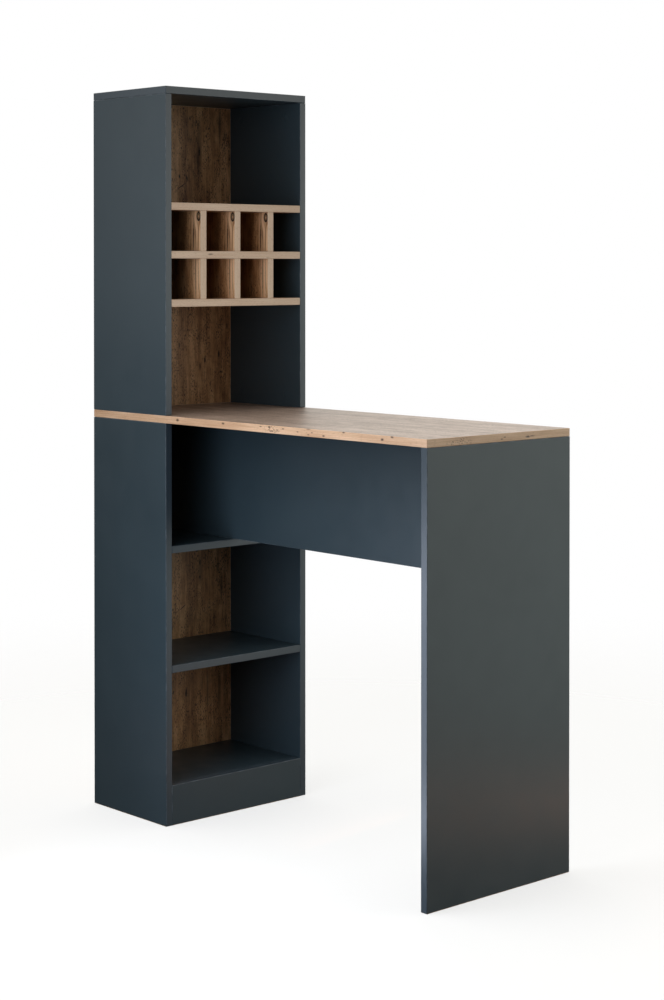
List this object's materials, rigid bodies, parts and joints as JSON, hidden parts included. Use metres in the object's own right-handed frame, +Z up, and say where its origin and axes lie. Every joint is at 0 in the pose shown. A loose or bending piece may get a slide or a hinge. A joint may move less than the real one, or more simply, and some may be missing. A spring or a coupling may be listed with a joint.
{
  "type": "bar counter with shelves",
  "caption": "Tall open shelf cabinet with a bottle rack, and a long worktop running through it to an end panel, stiffened by an apron board underneath.",
  "frame": {"origin": "on the floor, under the centre of the counter's length and width", "axes": "+Z up; +X along the counter from the cabinet to the end panel, so the shelves open towards +X; +Y across the counter, to the right of someone who faces the open shelves"},
  "size_m": [1.2, 0.45, 1.8],
  "materials": {
    "anthracite_board": "anthracite melamine-faced chipboard, satin",
    "oak_board": "rustic oak decor melamine-faced chipboard, matt with grain",
    "cam_zinc": "zinc die-cast cam",
    "bolt_steel": "zinc-plated steel bolt"
  },
  "bodies": {
    "root": {"left_lower_side": "anthracite_board", "right_lower_side": "anthracite_board", "plinth": "anthracite_board", "bottom_panel": "anthracite_board", "middle_shelf": "anthracite_board", "fixed_shelf": "anthracite_board", "lower_back_panel": "oak_board", "worktop": "oak_board", "end_panel": "anthracite_board", "apron_panel": "anthracite_board", "left_upper_side": "anthracite_board", "right_upper_side": "anthracite_board", "upper_back_panel": "oak_board", "top_panel": "anthracite_board", "rack_board_lower": "oak_board", "rack_board_middle": "oak_board", "rack_board_upper": "oak_board", "rack_divider_lower_1": "oak_board", "rack_divider_lower_2": "oak_board", "rack_divider_lower_3": "oak_board", "rack_divider_upper_1": "oak_board", "rack_divider_upper_2": "oak_board", "rack_divider_upper_3": "oak_board", "worktop_left_rear_bolt": "bolt_steel", "worktop_left_rear_lower_cam": "cam_zinc", "worktop_left_rear_upper_cam": "cam_zinc", "worktop_left_front_bolt": "bolt_steel", "worktop_left_front_lower_cam": "cam_zinc", "worktop_left_front_upper_cam": "cam_zinc", "worktop_right_rear_bolt": "bolt_steel", "worktop_right_rear_lower_cam": "cam_zinc", "worktop_right_rear_upper_cam": "cam_zinc", "worktop_right_front_bolt": "bolt_steel", "worktop_right_front_lower_cam": "cam_zinc", "worktop_right_front_upper_cam": "cam_zinc", "top_left_rear_bolt": "bolt_steel", "top_left_rear_cam": "cam_zinc", "top_left_front_bolt": "bolt_steel", "top_left_front_cam": "cam_zinc", "top_right_rear_bolt": "bolt_steel", "top_right_rear_cam": "cam_zinc", "top_right_front_bolt": "bolt_steel", "top_right_front_cam": "cam_zinc", "shelf_left_rear_bolt": "bolt_steel", "shelf_left_rear_cam": "cam_zinc", "shelf_left_front_bolt": "bolt_steel", "shelf_left_front_cam": "cam_zinc", "shelf_right_rear_bolt": "bolt_steel", "shelf_right_rear_cam": "cam_zinc", "shelf_right_front_bolt": "bolt_steel", "shelf_right_front_cam": "cam_zinc", "end_left_bolt": "bolt_steel", "end_left_cam": "cam_zinc", "end_right_bolt": "bolt_steel", "end_right_cam": "cam_zinc", "apron_lower_bolt": "bolt_steel", "apron_lower_cam": "cam_zinc", "apron_upper_bolt": "bolt_steel", "apron_upper_cam": "cam_zinc"}
  },
  "joints": []
}
